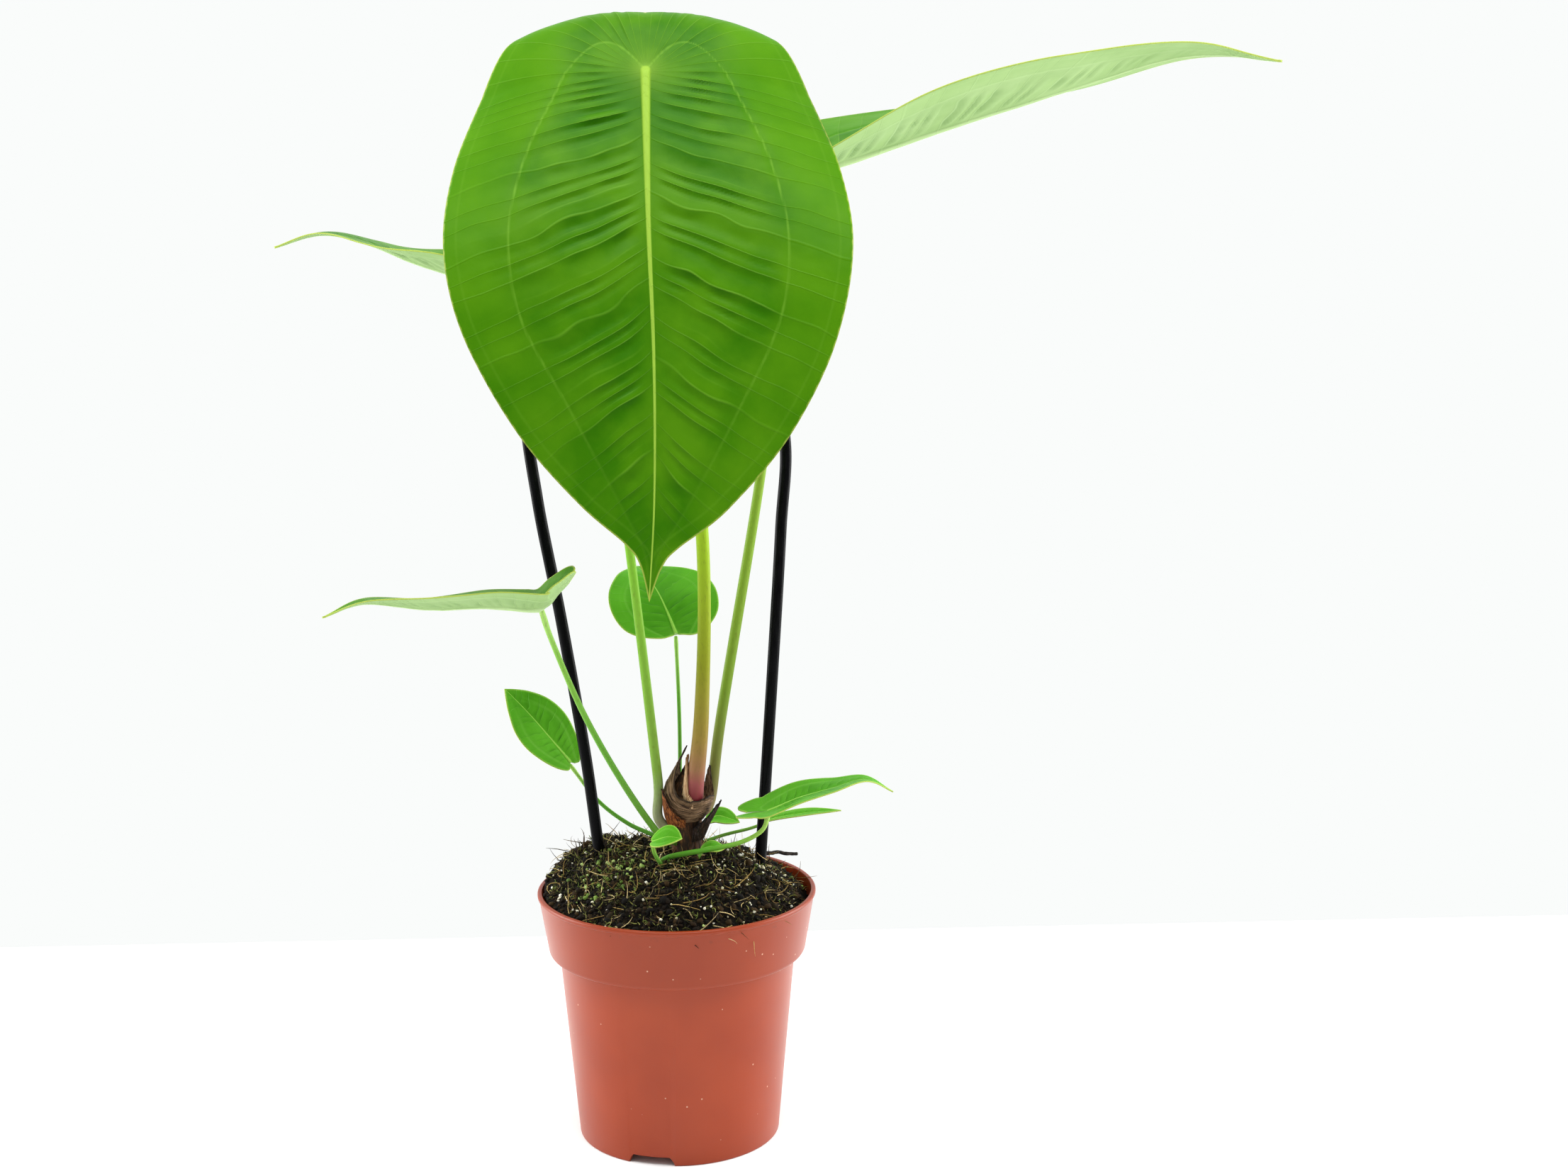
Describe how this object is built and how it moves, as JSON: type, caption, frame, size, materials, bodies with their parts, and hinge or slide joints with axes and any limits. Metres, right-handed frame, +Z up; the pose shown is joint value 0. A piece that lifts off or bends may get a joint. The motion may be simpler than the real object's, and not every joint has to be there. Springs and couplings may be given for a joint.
{
  "type": "potted anthurium",
  "caption": "Potted anthurium with large heart-shaped leaves on long stalks, held by a wire hoop in a tapered plastic nursery pot.",
  "frame": {"origin": "middle of the pot's base, on the ground", "axes": "+Z up the plant, -Y towards the front, where the largest leaf hangs, +X to the right seen from the front"},
  "size_m": [0.4152, 0.18, 0.4742],
  "materials": {
    "moulded_pot": "satin",
    "potting_mix": "matte",
    "coated_wire": "gloss",
    "leaf_blade": "satin",
    "leaf_stalk": "satin",
    "woody_stem": "matte",
    "papery_sheath": "matte",
    "dry_root": "matte"
  },
  "bodies": {
    "root": {"pot": "moulded_pot", "potting_mix": "potting_mix", "support_hoop": "coated_wire", "stem": "woody_stem", "cataphyll_front": "papery_sheath", "cataphyll_collar": "papery_sheath", "cataphyll_flap": "papery_sheath", "cataphyll_right": "papery_sheath", "petiole_front": "leaf_stalk", "leaf_front": "leaf_blade", "petiole_right": "leaf_stalk", "leaf_right": "leaf_blade", "petiole_left": "leaf_stalk", "leaf_left": "leaf_blade", "petiole_lower_left": "leaf_stalk", "leaf_lower_left": "leaf_blade", "petiole_round": "leaf_stalk", "leaf_round": "leaf_blade", "petiole_small_left": "leaf_stalk", "leaf_small_left": "leaf_blade", "petiole_small_right": "leaf_stalk", "leaf_small_right": "leaf_blade", "petiole_under_right": "leaf_stalk", "leaf_under_right": "leaf_blade", "petiole_behind_stem": "leaf_stalk", "leaf_behind_stem": "leaf_blade", "petiole_tiny_front": "leaf_stalk", "leaf_tiny_front": "leaf_blade", "petiole_tiny_side": "leaf_stalk", "leaf_tiny_side": "leaf_blade", "dry_twig": "dry_root"}
  },
  "joints": []
}
